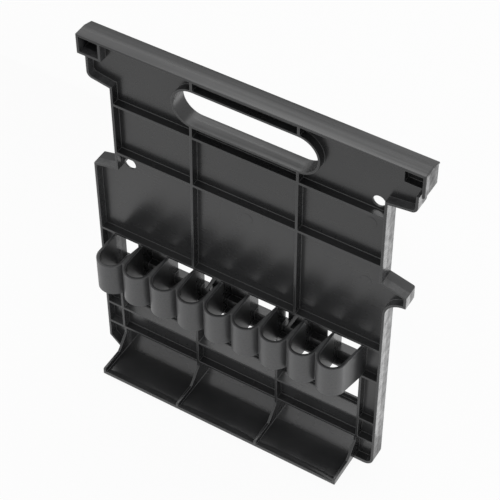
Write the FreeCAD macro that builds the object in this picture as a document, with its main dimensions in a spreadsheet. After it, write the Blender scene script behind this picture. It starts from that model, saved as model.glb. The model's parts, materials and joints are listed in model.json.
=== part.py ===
"""Hanging tool holder panel for a workshop cart.

One ribbed plastic panel with a handle slot, nine tool loops and a tray.
The sizes are in millimetres, the front faces minus Y and the foot stands at zero height.
"""
import FreeCAD
import Part
import Sketcher
import math
import os
import re

os.makedirs("parts", exist_ok=True)
document = FreeCAD.newDocument("ToolHolderPanel")
sizes = document.addObject("Spreadsheet::Sheet", "Sizes")
pieces = []
rows = []


def size(name, value):
    """Write one named size on the next row of the sheet."""
    rows.append(name)
    row = str(len(rows))
    sizes.set("A" + row, name.replace("_", " "))
    sizes.set("B" + row, value)
    sizes.setAlias("B" + row, name)


def bound(text):
    """Point every size named in a formula at the sheet."""
    return re.sub(r"[a-z]\w*", lambda word: "Sizes." + word.group(), text)


def worth(text):
    """Work out the present value of a formula."""
    return float(sizes.evalExpression(bound(text)))


# Sizes shared by the whole panel
ground_height = 0  # underside of the foot
total_height = 365.3  # foot to top of the rail
frame_depth = 15.6  # depth of the outer walls and cross bars
wall_thickness = 2.4  # thickness of walls and ribs
plate_thickness = 2  # thickness of the flat plates
plate_setback = 7  # from the front rims back to the plates

# Top rail and the boxes at its ends
rail_half_length = 151  # middle of the panel to a rail end
rail_depth = 22  # rail front to back
rail_flat_depth = 12.5  # level part of the rail top
rail_thickness = 2.5  # rail top to underside
rail_drop = 3  # fall of the rail top at its back edge
rail_edge = 2  # thickness of the back edge
end_wall_depth = 20.5  # end walls front to back
box_wall = 2.4  # walls of the end boxes
left_box_inner = 128.7  # middle to the inner side of the left box
left_box_height = 17  # left box below the rail
right_box_inner = 128.6  # middle to the inner side of the right box
right_box_height = 20.4  # right box below the rail

# Shoulders under the boxes
left_shoulder_reach = 143.5  # middle to the left shoulder face
right_shoulder_reach = 146.8  # middle to the right shoulder face
shoulder_depth = 14.6  # shoulders front to back
shoulder_radius = 6  # rounding of the shoulder corners
shoulder_drop = 40.7  # rail top to the shoulder corners
shoulder_root_drop = 43.4  # rail top to where the shoulders reach the neck

# Neck and its ribs
neck_half_width = 122.5  # middle to the neck side faces
upper_rib_drop = 60  # rail top to the centre of the upper neck rib
lower_rib_drop = 112.6  # rail top to the centre of the lower neck rib

# Handle slot
slot_drop = 29.7  # rail top to the centre of the handle slot
slot_radius = 17.5  # rounded ends of the handle slot
slot_half_straight = 45.9  # middle to the start of the slot ends
collar_wall = 2  # wall around the handle slot
web_reach = 46.5  # middle to the webs above the collar

# Upright ribs on the upper plates
left_rib_top = 48.1  # middle to the left rib under the collar
left_rib_lean = 2.8  # how far the left rib leans out at its foot
right_rib_reach = 46.5  # middle to the right rib

# Ears and the outer walls of the body
ear_top_drop = 129.4  # rail top to the ear tops at the neck
ear_drop = 5.6  # fall of the ears to their outer ends
ear_wall = 2.5  # ear thickness measured upright
left_reach = 144.3  # middle to the left side face
right_reach = 127  # middle to the right side face
hook_reach = 144.3  # middle to the end of the right hook
hook_drop = 165.1  # rail top to where the hook leaves the side wall

# Cross bars
body_bar_height = 153.7  # centre of the bar over the loops
window_bar_height = 114.3  # centre of the bar under the loops
lower_bar_height = 57.5  # centre of the bar under the windows
tray_bar_height = 31.6  # centre of the bar over the tray

# Bays of the lower half
bay_start = -128.8  # first bay line, at the left of the loops
bay_pitch = 79.5  # centre to centre of the bays
left_upright_inset = 1.5  # first upright inside the first bay line
tray_end_inset = 1.2  # end walls of the tray inside the outer uprights

# Tool loops
loop_inner_radius = 10.2  # inside of the loop fronts
loop_outer_radius = 13  # outside of the loop fronts
loop_offset = 11.5  # wall centre at the panel to the loop centre
loop_reach = 22.3  # front rims to the loop centres
loop_web_inset = 3  # web between loops in front of their centres
loop_front_height = 118.6  # bottom of the loops at their fronts
loop_back_inset = 2  # loop walls stop short of the back

# Window behind the loops
sill_height = 125  # top of the window sill
sill_thickness = 2  # sill and its back panels
panel_width = 37.1  # width of a back panel
panel_pitch = 74.6  # left edge to left edge of the back panels
panel_last = 33.5  # left edge of the last back panel
brace_foot = 5.8  # wall centre to the foot of a brace
brace_foot_width = 2.9  # width of a brace at its foot
brace_head = 16.5  # wall centre to the head of a brace
brace_head_width = 4.3  # width of a brace at its head

# Tray and foot
foot_thickness = 3.8  # foot to the underside of the tray floor
floor_thickness = 2  # tray floor
tray_reach = 36  # front rims to the front of the tray
divider_height = 5  # tray dividers above the floor
gusset_height = 25.3  # height of the gusset roots
gusset_reach = 11  # front rims to the foot of the gusset slope
gusset_drop = 13  # fall of the gusset slope
gusset_toe = 2  # length of the toe below the slope
divider_corner = 1  # chamfer at the front of the dividers
lip_height = 5  # upstand behind the lower windows
lip_thickness = 2  # thickness of the upstand
left_chamfer = 11  # chamfer of the left bottom corner
right_foot_radius = 9  # rounding of the right bottom corner
left_chamfer_inner = 8.2  # inside of the same chamfer

# Round holes in the plates
hole_radius = 5.2  # round holes through the plates
left_hole_reach = 112.7  # middle to the left hole
left_hole_drop = 127  # rail top to the centre of the left hole
right_hole_reach = 112.1  # middle to the right hole
right_hole_drop = 51  # rail top to the centre of the right hole


for name, value in list(globals().items()):
    if isinstance(value, (int, float)):
        size(name, str(value))


# The sizes below are worked out from the sizes above
# Faces of the whole panel
size("front_face", "=-frame_depth / 2")  # front rims
size("back_face", "=frame_depth / 2")  # back rims
size("half_wall", "=wall_thickness / 2")  # from a rib centre to its face
size("plate_front", "=front_face + plate_setback")  # front of the plates
size("plate_back", "=plate_front + plate_thickness")  # back of the plates

# Edges of the rail and its boxes
size("rail_underside", "=total_height - rail_thickness")  # underside of the rail
size("rail_back", "=front_face + rail_depth")  # back edge of the rail
size("end_wall_back", "=front_face + end_wall_depth")  # back edge of the end walls
# Fall of the rail underside at the end walls
size("end_wall_fall", "=(rail_drop + rail_edge - rail_thickness) * (end_wall_back -"
     " back_face) / (rail_back - back_face)")
size("left_box_bottom", "=rail_underside - left_box_height")  # bottom of the left box
size("right_box_bottom", "=rail_underside - right_box_height")  # bottom of the right box

# Heights of the shoulders
size("shoulder_bottom", "=total_height - shoulder_drop")  # height of the shoulder corners
size("shoulder_root", "=total_height - shoulder_root_drop")  # where the shoulders reach the neck

# Edges of the neck
size("upper_rib_height", "=total_height - upper_rib_drop")  # centre of the upper neck rib
size("lower_rib_height", "=total_height - lower_rib_drop")  # centre of the lower neck rib
size("neck_inner", "=neck_half_width - wall_thickness")  # inside of the neck walls
size("neck_bottom", "=lower_rib_height - half_wall")  # bottom of the neck plate

# Collar of the handle slot
size("slot_height", "=total_height - slot_drop")  # centre of the handle slot
size("collar_radius", "=slot_radius + collar_wall")  # outside of the collar ends
size("collar_top", "=slot_height + collar_radius")  # top of the collar
size("collar_bottom", "=slot_height - collar_radius")  # bottom of the collar

# Corners of the ears and inner faces of the body
size("ear_height", "=total_height - ear_top_drop")  # ear tops at the neck
size("hook_radius", "=hook_reach - right_reach")  # hollow under the hook
size("hook_centre", "=total_height - hook_drop")  # height where the hook leaves the side wall
size("ear_end", "=ear_height - ear_drop")  # ear tops at the outer ends
size("left_inner", "=left_reach - wall_thickness")  # inside of the left side wall
size("right_inner", "=right_reach - wall_thickness")  # inside of the right side wall
size("hook_inner", "=hook_reach - wall_thickness")  # inside of the hook end
# Ear top at the neck to its inner corner
size("ear_inner_drop", "=ear_wall + ear_drop * (left_inner - neck_half_width) / (left_reach -"
     " neck_half_width)")
size("ear_corner", "=ear_height - ear_inner_drop")  # underside of the ears at the side walls
size("hook_wall_radius", "=hook_radius + wall_thickness")  # inner face of the hook wall
# Inner corner at the hook end
size("hook_corner", "=hook_centre + sqrt(hook_wall_radius * hook_wall_radius -"
     " wall_thickness * wall_thickness)")

# Faces of the cross bars
size("body_bar_top", "=body_bar_height + half_wall")  # top of the bar over the loops
size("body_bar_bottom", "=body_bar_height - half_wall")  # bottom of the bar over the loops
size("window_bar_top", "=window_bar_height + half_wall")  # top of the bar under the loops
size("window_bar_bottom", "=window_bar_height - half_wall")  # bottom of the same bar
size("lower_bar_top", "=lower_bar_height + half_wall")  # top of the bar under the windows
size("lower_bar_bottom", "=lower_bar_height - half_wall")  # bottom of the same bar
size("tray_bar_top", "=tray_bar_height + half_wall")  # top of the bar over the tray
size("tray_bar_bottom", "=tray_bar_height - half_wall")  # bottom of the same bar

# Places of the uprights
size("bay_end", "=bay_start + 3 * bay_pitch")  # last bay line
size("left_column", "=bay_start - half_wall")  # left face of the first loop wall
size("right_column", "=bay_end + half_wall")  # right face of the last loop wall and upright
size("upright_1", "=bay_start + left_upright_inset")  # centre of the first upright
size("upright_2", "=bay_start + bay_pitch")  # centre of the second upright
size("upright_3", "=bay_start + 2 * bay_pitch")  # centre of the third upright
size("upright_4", "=bay_end")  # centre of the last upright
size("frame_left", "=upright_1 - half_wall")  # left face of the first upright
size("bay_inner_left", "=upright_1 + half_wall")  # right face of the first upright
size("bay_inner_right", "=upright_4 - half_wall")  # left face of the last upright

# Outline of the tool loops
size("loop_pitch", "=bay_pitch / 3")  # centre to centre of the loops
size("loop_centre", "=front_face - loop_reach")  # front to back place of the loop centres
size("loop_front", "=loop_centre - loop_outer_radius")  # foremost line of the loops
size("loop_web", "=loop_centre - loop_web_inset")  # front of the webs between loops
# Loop centre to where its front meets a web
size("loop_web_half", "=sqrt(loop_outer_radius * loop_outer_radius - loop_web_inset *"
     " loop_web_inset)")
size("loop_back", "=back_face - loop_back_inset")  # back ends of the loop walls

# Panels behind the loops
size("panel_front", "=back_face - sill_thickness")  # front of the back panels

# Edges of the tray
size("tray_left", "=frame_left + tray_end_inset")  # left end of the tray
size("tray_right", "=right_column - tray_end_inset")  # right end of the tray
size("floor_top", "=foot_thickness + floor_thickness")  # top of the tray floor
size("tray_front", "=front_face - tray_reach")  # front of the tray
size("divider_top", "=floor_top + divider_height")  # top of the dividers
size("lip_front", "=back_face - lip_thickness")  # front of the upstand
size("right_foot_inner_radius", "=right_foot_radius - foot_thickness")  # inside of that corner

# Heights of the round holes
size("left_hole_height", "=total_height - left_hole_drop")  # centre of the left hole
size("right_hole_height", "=total_height - right_hole_drop")  # centre of the right hole
document.recompute()


def block(name, x_faces, y_faces, z_faces):
    """Make a plain rectangular piece between three pairs of faces."""
    piece = document.addObject("Part::Box", name)
    piece.Label = name
    sides = {"Length": x_faces, "Width": y_faces, "Height": z_faces}
    for (side, (low, high)), axis in zip(sides.items(), "xyz"):
        piece.setExpression(side, bound("(%s) - (%s)" % (high, low)))
        piece.setExpression("Placement.Base." + axis, bound(low))
    pieces.append(piece)
    return piece


def new_body(name):
    """Start an empty body for one piece."""
    body = document.addObject("PartDesign::Body", name)
    body.Label = name
    pieces.append(body)
    return body


def arc_between(start, end, radius, turn):
    """Draw the shorter arc from start to end, turning left or right."""
    middle = (start + end) * 0.5
    chord = end - start
    rise = math.sqrt(max(radius * radius - chord.Length * chord.Length / 4, 0))
    side = FreeCAD.Vector(-chord.y, chord.x, 0)
    side.normalize()
    centre = middle + side * (rise if turn == "left" else -rise)
    circle = Part.Circle(centre, FreeCAD.Vector(0, 0, 1), radius)
    first, last = (start, end) if turn == "left" else (end, start)
    angles = [math.atan2(p.y - centre.y, p.x - centre.x) for p in (first, last)]
    return Part.ArcOfCircle(circle, angles[0], angles[1])


def hold(sketch, kind, ends, text):
    """Add one measured constraint and bind it to the sheet."""
    place = sketch.addConstraint(Sketcher.Constraint(kind, *ends, worth(text)))
    sketch.setExpression("Constraints[%d]" % place, bound(text))


def draw_outline(sketch, corners):
    """Draw one closed outline whose corners follow the sheet."""
    points = [FreeCAD.Vector(worth(c[0]), worth(c[1]), 0) for c in corners]
    drawn = []
    for index, corner in enumerate(corners):
        start = points[index]
        end = points[(index + 1) % len(points)]
        if len(corner) > 2:
            curve = arc_between(start, end, worth(corner[2]), corner[3])
            ends = (1, 2) if corner[3] == "left" else (2, 1)
        else:
            curve = Part.LineSegment(start, end)
            ends = (1, 2)
        drawn.append((sketch.addGeometry(curve, False), ends))
    for index, corner in enumerate(corners):
        curve, ends = drawn[index]
        before, before_ends = drawn[index - 1]
        joint = (before, before_ends[1], curve, ends[0])
        sketch.addConstraint(Sketcher.Constraint("Coincident", *joint))
        hold(sketch, "DistanceX", (-1, 1, curve, ends[0]), corner[0])
        hold(sketch, "DistanceY", (-1, 1, curve, ends[0]), corner[1])
        if len(corner) > 2:
            hold(sketch, "Radius", (curve,), corner[2])


def draw_hole(sketch, across, up, radius):
    """Draw one round hole whose place and radius follow the sheet."""
    centre = FreeCAD.Vector(worth(across), worth(up), 0)
    circle = Part.Circle(centre, FreeCAD.Vector(0, 0, 1), worth(radius))
    curve = sketch.addGeometry(circle, False)
    hold(sketch, "DistanceX", (-1, 1, curve, 3), across)
    hold(sketch, "DistanceY", (-1, 1, curve, 3), up)
    hold(sketch, "Radius", (curve,), radius)


def shape_step(kind, body, plane, faces, outlines, holes=()):
    """Pad or pocket outlines between two faces square to a plane of the body."""
    low, high = faces
    backward = plane == "XZ_Plane"
    from_low = backward != (kind == "Pad")
    base = next(item for item in body.Origin.OriginFeatures if item.Role == plane)
    count = str(len(body.Group))
    sketch = body.newObject("Sketcher::SketchObject", body.Name + "_outline_" + count)
    sketch.AttachmentSupport = [(base, "")]
    sketch.MapMode = "FlatFace"
    where = bound(low if from_low else high)
    sketch.setExpression("AttachmentOffset.Base.z", "-(%s)" % where if backward else where)
    for corners in outlines:
        draw_outline(sketch, corners)
    for hole in holes:
        draw_hole(sketch, *hole)
    before = body.Shape.Volume if kind == "Pocket" else 0
    step = body.newObject("PartDesign::" + kind, body.Name + "_step_" + count)
    step.Profile = sketch
    step.Type = "Length"
    step.setExpression("Length", bound("(%s) - (%s)" % (high, low)))
    body.Tip = step
    document.recompute()
    if kind == "Pocket" and not body.Shape.Volume < before:
        raise ValueError("the cut missed " + body.Label)
    return step


def plate(name, faces, outlines, holes=()):
    """Make a piece from outlines seen from the front."""
    body = new_body(name)
    shape_step("Pad", body, "XZ_Plane", faces, outlines, holes)
    return body


def box_outline(low_x, high_x, low_z, high_z):
    """List the corners of a plain rectangle."""
    return [(low_x, low_z), (high_x, low_z), (high_x, high_z), (low_x, high_z)]


def stadium(radius):
    """List the corners of the rounded slot shape at one radius."""
    left = "-slot_half_straight"
    right = "slot_half_straight"
    low = "slot_height - " + radius
    high = "slot_height + " + radius
    return [
        (left, low),
        (right, low, radius, "left"),
        (right + " + " + radius, "slot_height", radius, "left"),
        (right, high),
        (left, high, radius, "left"),
        (left + " - " + radius, "slot_height", radius, "left"),
    ]


def top_rail():
    """Thin rail across the top with a sloping back."""
    body = new_body("top_rail")
    outline = [
        ("front_face", "rail_underside"),
        ("back_face", "rail_underside"),
        ("rail_back", "total_height - rail_drop - rail_edge"),
        ("rail_back", "total_height - rail_drop"),
        ("front_face + rail_flat_depth", "total_height"),
        ("front_face", "total_height"),
    ]
    faces = ("-rail_half_length", "rail_half_length")
    shape_step("Pad", body, "YZ_Plane", faces, [outline])


def end_wall(body, faces, bottom):
    """Add the wall that closes one end of the rail."""
    outline = [
        ("front_face", bottom),
        ("end_wall_back", bottom),
        ("end_wall_back", "rail_underside - end_wall_fall"),
        ("back_face", "rail_underside"),
        ("front_face", "rail_underside"),
    ]
    shape_step("Pad", body, "YZ_Plane", faces, [outline])


def left_rail_box():
    """Box under the left end of the rail, open to the front."""
    body = new_body("left_rail_box")
    outer = "-rail_half_length"
    inner = "-left_box_inner"
    wall_face = outer + " + box_wall"
    end_wall(body, (outer, wall_face), "left_box_bottom")
    block_outline = box_outline(wall_face, inner, "left_box_bottom", "rail_underside")
    shape_step("Pad", body, "XZ_Plane", ("front_face", "back_face"), [block_outline])
    hollow = box_outline(wall_face, inner + " - box_wall", "left_box_bottom + box_wall",
                         "rail_underside")
    depth = ("front_face", "back_face - box_wall")
    shape_step("Pocket", body, "XZ_Plane", depth, [hollow])


def right_rail_box():
    """Box under the right end of the rail, sunk behind the plate face."""
    body = new_body("right_rail_box")
    outer = "rail_half_length"
    inner = "right_box_inner"
    wall_face = outer + " - box_wall"
    end_wall(body, (wall_face, outer), "right_box_bottom")
    block_outline = box_outline(inner, wall_face, "right_box_bottom", "rail_underside")
    shape_step("Pad", body, "XZ_Plane", ("plate_front", "back_face"), [block_outline])
    hollow = box_outline(inner + " + box_wall", wall_face, "right_box_bottom + box_wall",
                         "rail_underside")
    depth = ("plate_front", "back_face - box_wall")
    shape_step("Pocket", body, "XZ_Plane", depth, [hollow])


def shoulders():
    """Bent walls that carry the neck plate out below the boxes."""
    depth = ("front_face", "front_face + shoulder_depth")
    inner_radius = "shoulder_radius - wall_thickness"
    rise = "shoulder_bottom + wall_thickness"
    left = [
        ("-left_shoulder_reach", "left_box_bottom"),
        ("-left_shoulder_reach", "shoulder_bottom + shoulder_radius", "shoulder_radius", "left"),
        ("-left_shoulder_reach + shoulder_radius", "shoulder_bottom"),
        ("-neck_half_width", "shoulder_root"),
        ("-neck_half_width", "shoulder_root + wall_thickness"),
        ("-left_shoulder_reach + shoulder_radius", rise, inner_radius, "right"),
        ("-left_shoulder_reach + wall_thickness", "shoulder_bottom + shoulder_radius"),
        ("-left_shoulder_reach + wall_thickness", "left_box_bottom"),
    ]
    right = [
        ("right_shoulder_reach", "right_box_bottom"),
        ("right_shoulder_reach", "shoulder_bottom + shoulder_radius", "shoulder_radius", "right"),
        ("right_shoulder_reach - shoulder_radius", "shoulder_bottom"),
        ("neck_half_width", "shoulder_root"),
        ("neck_half_width", "shoulder_root + wall_thickness"),
        ("right_shoulder_reach - shoulder_radius", rise, inner_radius, "left"),
        ("right_shoulder_reach - wall_thickness", "shoulder_bottom + shoulder_radius"),
        ("right_shoulder_reach - wall_thickness", "right_box_bottom"),
    ]
    plate("left_shoulder", depth, [left])
    plate("right_shoulder", depth, [right])


def handle_collar():
    """Rounded wall around the handle slot with two webs up to the rail."""
    body = plate("handle_collar", ("front_face", "back_face"),
                 [stadium("collar_radius"), stadium("slot_radius")])
    webs = []
    for side in ("-", ""):
        middle = side + "web_reach"
        webs.append(box_outline(middle + " - half_wall", middle + " + half_wall",
                                "collar_top - collar_wall / 2", "rail_underside"))
    shape_step("Pad", body, "XZ_Plane", ("front_face", "plate_front"), webs)


def neck_plate():
    """Flat plate between the rail and the lower neck rib."""
    inner_radius = "shoulder_radius - wall_thickness"
    corner = "shoulder_bottom + shoulder_radius"
    root = "shoulder_root + wall_thickness"
    rise = "shoulder_bottom + wall_thickness"
    left_face = "-left_shoulder_reach + wall_thickness"
    right_face = "right_shoulder_reach - wall_thickness"
    outline = [
        ("-neck_inner", "neck_bottom"),
        ("neck_inner", "neck_bottom"),
        ("neck_inner", root),
        ("neck_half_width", root),
        ("right_shoulder_reach - shoulder_radius", rise, inner_radius, "left"),
        (right_face, corner),
        (right_face, "right_box_bottom"),
        ("right_box_inner", "right_box_bottom"),
        ("right_box_inner", "rail_underside"),
        ("-left_box_inner", "rail_underside"),
        ("-left_box_inner", "left_box_bottom"),
        (left_face, "left_box_bottom"),
        (left_face, corner, inner_radius, "left"),
        ("-left_shoulder_reach + shoulder_radius", rise),
        ("-neck_half_width", root),
        ("-neck_inner", root),
    ]
    hole = ("right_hole_reach", "right_hole_height", "hole_radius")
    plate("neck_plate", ("plate_front", "plate_back"), [outline, stadium("collar_radius")],
          [hole])


def neck_walls_and_ribs():
    """Side walls of the neck and the two ribs across it."""
    depth = ("front_face", "back_face")
    rib_depth = ("front_face", "plate_front")
    heights = ("ear_height - ear_wall", "shoulder_root + wall_thickness")
    across = ("-neck_inner", "neck_inner")
    block("left_neck_wall", ("-neck_half_width", "-neck_inner"), depth, heights)
    block("right_neck_wall", ("neck_inner", "neck_half_width"), depth, heights)
    block("upper_neck_rib", across, rib_depth,
          ("upper_rib_height - half_wall", "upper_rib_height + half_wall"))
    block("lower_neck_rib", across, rib_depth,
          ("lower_rib_height - half_wall", "lower_rib_height + half_wall"))


def left_rib_at(height):
    """Give the place of the leaning left rib at one height."""
    share = "(collar_bottom - (%s)) / (collar_bottom - body_bar_top)" % height
    return "-left_rib_top - left_rib_lean * " + share


def upright_ribs():
    """Upright ribs from the handle collar down to the body bar."""
    depth = ("front_face", "plate_front")
    spans = {
        "top": ("upper_rib_height + half_wall", "collar_bottom"),
        "middle": ("lower_rib_height + half_wall", "upper_rib_height - half_wall"),
        "bottom": ("body_bar_top", "lower_rib_height - half_wall"),
    }
    for label, (low, high) in spans.items():
        lean = [
            (left_rib_at(low) + " - half_wall", low),
            (left_rib_at(low) + " + half_wall", low),
            (left_rib_at(high) + " + half_wall", high),
            (left_rib_at(high) + " - half_wall", high),
        ]
        plate("left_rib_" + label, depth, [lean])
        block("right_rib_" + label, ("right_rib_reach - half_wall", "right_rib_reach + half_wall"),
              depth, (low, high))


def ears():
    """Left ear, and the right hook with its hollow underside."""
    depth = ("front_face", "back_face")
    left = [
        ("-neck_half_width", "ear_height"),
        ("-left_reach", "ear_end"),
        ("-left_reach", "ear_end - ear_wall"),
        ("-left_inner", "ear_end - ear_wall"),
        ("-left_inner", "ear_corner"),
        ("-neck_half_width", "ear_height - ear_wall"),
    ]
    right = [
        ("neck_half_width", "ear_height"),
        ("hook_reach", "ear_end"),
        ("hook_reach", "hook_centre + hook_radius", "hook_radius", "left"),
        ("right_reach", "hook_centre"),
        ("right_inner", "hook_centre", "hook_wall_radius", "right"),
        ("hook_inner", "hook_corner"),
        ("hook_inner", "ear_corner"),
        ("neck_half_width", "ear_height - ear_wall"),
    ]
    plate("left_ear", depth, [left])
    plate("right_hook", depth, [right])


def body_plate():
    """Flat plate from the lower neck rib to the body bar."""
    under = "ear_height - ear_wall"
    outline = [
        ("-left_inner", "body_bar_top"),
        ("right_inner", "body_bar_top"),
        ("right_inner", "hook_centre", "hook_wall_radius", "right"),
        ("hook_inner", "hook_corner"),
        ("hook_inner", "ear_corner"),
        ("neck_half_width", under),
        ("neck_inner", under),
        ("neck_inner", "neck_bottom"),
        ("-neck_inner", "neck_bottom"),
        ("-neck_inner", under),
        ("-neck_half_width", under),
        ("-left_inner", "ear_corner"),
    ]
    hole = ("-left_hole_reach", "left_hole_height", "hole_radius")
    plate("body_plate", ("plate_front", "plate_back"), [outline], [hole])


def side_walls():
    """Outer walls of the body."""
    depth = ("front_face", "back_face")
    block("left_side_wall", ("-left_reach", "-left_inner"), depth,
          ("foot_thickness + left_chamfer_inner", "ear_end - ear_wall"))
    block("right_side_wall", ("right_inner", "right_reach"), depth,
          ("right_foot_radius", "hook_centre"))


def crossbar(name, low, high, left, right):
    """Bar across the body, full depth between the columns only."""
    body = new_body(name)
    outline = [
        ("-left_inner", "front_face"),
        ("right_inner", "front_face"),
        ("right_inner", "plate_front"),
        (right, "plate_front"),
        (right, "back_face"),
        (left, "back_face"),
        (left, "plate_front"),
        ("-left_inner", "plate_front"),
    ]
    shape_step("Pad", body, "XY_Plane", (low, high), [outline])


def crossbars():
    """The four bars across the body."""
    block("body_bar", ("-left_inner", "right_inner"), ("front_face", "back_face"),
          ("body_bar_bottom", "body_bar_top"))
    crossbar("window_bar", "window_bar_bottom", "window_bar_top", "left_column", "right_column")
    crossbar("lower_bar", "lower_bar_bottom", "lower_bar_top", "frame_left", "right_column")
    crossbar("tray_bar", "tray_bar_bottom", "tray_bar_top", "frame_left", "right_column")


def column_plates():
    """Plates between the side walls and the outer uprights."""
    depth = ("plate_front", "plate_back")
    inner_chamfer = "foot_thickness + left_chamfer_inner"
    left = [
        ("-left_inner", "body_bar_bottom"),
        ("-left_inner", inner_chamfer),
        ("-left_inner + left_chamfer_inner", "foot_thickness"),
        ("tray_left", "foot_thickness"),
        ("tray_left", "tray_bar_bottom"),
        ("frame_left", "tray_bar_bottom"),
        ("frame_left", "window_bar_bottom"),
        ("left_column", "window_bar_bottom"),
        ("left_column", "body_bar_bottom"),
    ]
    right = [
        ("right_column", "body_bar_bottom"),
        ("right_column", "tray_bar_bottom"),
        ("tray_right", "tray_bar_bottom"),
        ("tray_right", "foot_thickness"),
        ("right_inner - right_foot_inner_radius", "foot_thickness",
         "right_foot_inner_radius", "left"),
        ("right_inner", "right_foot_radius"),
        ("right_inner", "body_bar_bottom"),
    ]
    plate("left_column_plate", depth, [left])
    plate("right_column_plate", depth, [right])


def lower_plate_and_uprights():
    """Uprights below the window bar and the plate over the tray."""
    deep = ("front_face", "back_face")
    block("lower_plate", ("bay_inner_left", "bay_inner_right"), ("plate_front", "plate_back"),
          ("tray_bar_top", "lower_bar_bottom"))
    block("window_lip", ("bay_inner_left", "bay_inner_right"), ("lip_front", "back_face"),
          ("lower_bar_top", "lower_bar_top + lip_height"))
    for index in range(4):
        number = str(index + 1)
        middle = "upright_" + number
        faces = (middle + " - half_wall", middle + " + half_wall")
        outer = index in (0, 3)
        block("window_upright_" + number, faces,
              deep if outer else ("front_face", "lip_front"),
              ("lower_bar_top", "window_bar_bottom"))
        block("lower_upright_" + number, faces,
              deep if outer else ("front_face", "plate_front"),
              ("tray_bar_top", "lower_bar_bottom"))


def loop_outline(index):
    """List the corners of one tool loop seen from above."""
    wall = "bay_start + loop_pitch * %d" % index
    next_wall = "bay_start + loop_pitch * %d" % (index + 1)
    centre = wall + " + loop_offset"
    half_pitch = " loop_pitch / 2"
    outer = "loop_outer_radius"
    inner = "loop_inner_radius"
    back = []
    if index == 0:
        back += [("left_column", "loop_back"), ("left_column", "front_face")]
        back += [(centre + " - loop_outer_radius", "loop_centre", outer, "left")]
    else:
        back += [(wall, "loop_back"), (wall, "front_face")]
        back += [(centre + " -" + half_pitch, "loop_web")]
        back += [(centre + " - loop_web_half", "loop_web", outer, "left")]
    if index == 8:
        front = [(centre, "loop_front", outer, "left")]
        front += [(centre + " + loop_outer_radius", "loop_centre")]
        front += [("right_column", "front_face"), ("right_column", "loop_back")]
    else:
        front = [(centre, "loop_front", outer, "left")]
        front += [(centre + " + loop_web_half", "loop_web")]
        front += [(centre + " +" + half_pitch, "loop_web")]
        front += [(next_wall, "front_face"), (next_wall, "loop_back")]
    inside = [
        (next_wall + " - half_wall", "loop_back"),
        (next_wall + " - half_wall", "front_face"),
        (centre + " + loop_inner_radius", "loop_centre", inner, "right"),
        (centre, "loop_centre - loop_inner_radius", inner, "right"),
        (centre + " - loop_inner_radius", "loop_centre"),
        (wall + " + half_wall", "front_face"),
        (wall + " + half_wall", "loop_back"),
    ]
    return back + front + inside


def tool_loops():
    """Nine loops open above and below, rising a little at the front."""
    below = "window_bar_bottom - half_wall"
    ahead = "loop_front - wall_thickness"
    behind = "back_face + wall_thickness"
    slope = "(loop_front_height - window_bar_height) / (front_face - loop_front)"
    rise = "window_bar_height + (front_face - (%s)) * %s" % (ahead, slope)
    for index in range(9):
        body = new_body("tool_loop_%d" % (index + 1))
        shape_step("Pad", body, "XY_Plane", ("window_bar_height", "body_bar_bottom"),
                   [loop_outline(index)])
        under = [(ahead, below), (behind, below)]
        if index == 0:
            under += [(behind, "window_bar_top")]
        else:
            under += [(behind, "sill_height"), ("plate_front", "sill_height")]
            under += [("plate_front", "window_bar_top")]
        under += [("front_face", "window_bar_top"), ("front_face", "window_bar_height")]
        under += [(ahead, rise)]
        wall = "bay_start + loop_pitch * %d" % index
        faces = (wall + " - loop_pitch / 2", wall + " + loop_pitch * 3 / 2")
        shape_step("Pocket", body, "YZ_Plane", faces, [under])


def window_sill():
    """Sill and strip of plate under the window behind the loops."""
    body = new_body("window_sill")
    outline = [
        ("plate_front", "window_bar_top"),
        ("plate_back", "window_bar_top"),
        ("plate_back", "sill_height - sill_thickness"),
        ("back_face", "sill_height - sill_thickness"),
        ("back_face", "sill_height"),
        ("plate_front", "sill_height"),
    ]
    faces = ("bay_start + loop_pitch", "bay_inner_right")
    shape_step("Pad", body, "YZ_Plane", faces, [outline])


def back_panels_and_braces():
    """Closed panels behind some loops and the braces beside them."""
    for index in range(3):
        left = "panel_last - panel_pitch * %d" % (2 - index)
        block("back_panel_%d" % (index + 1), (left, left + " + panel_width"),
              ("panel_front", "back_face"), ("sill_height", "body_bar_bottom"))
    for index in (1, 2):
        wall = "bay_start + bay_pitch * %d" % index
        outline = [
            (wall + " + brace_foot", "sill_height"),
            (wall + " + brace_foot + brace_foot_width", "sill_height"),
            (wall + " + brace_head + brace_head_width", "body_bar_bottom"),
            (wall + " + brace_head", "body_bar_bottom"),
        ]
        plate("window_brace_%d" % index, ("plate_front", "plate_back"), [outline])


def foot_rail():
    """Foot with a chamfered left corner and a rounded right corner."""
    inner_chamfer = "foot_thickness + left_chamfer_inner"
    outline = [
        ("-left_reach + left_chamfer", "ground_height"),
        ("right_reach - right_foot_radius", "ground_height", "right_foot_radius", "left"),
        ("right_reach", "right_foot_radius"),
        ("right_inner", "right_foot_radius", "right_foot_inner_radius", "right"),
        ("right_inner - right_foot_inner_radius", "foot_thickness"),
        ("-left_inner + left_chamfer_inner", "foot_thickness"),
        ("-left_inner", inner_chamfer),
        ("-left_reach", inner_chamfer),
        ("-left_reach", "left_chamfer"),
    ]
    plate("foot_rail", ("front_face", "back_face"), [outline])


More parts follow.
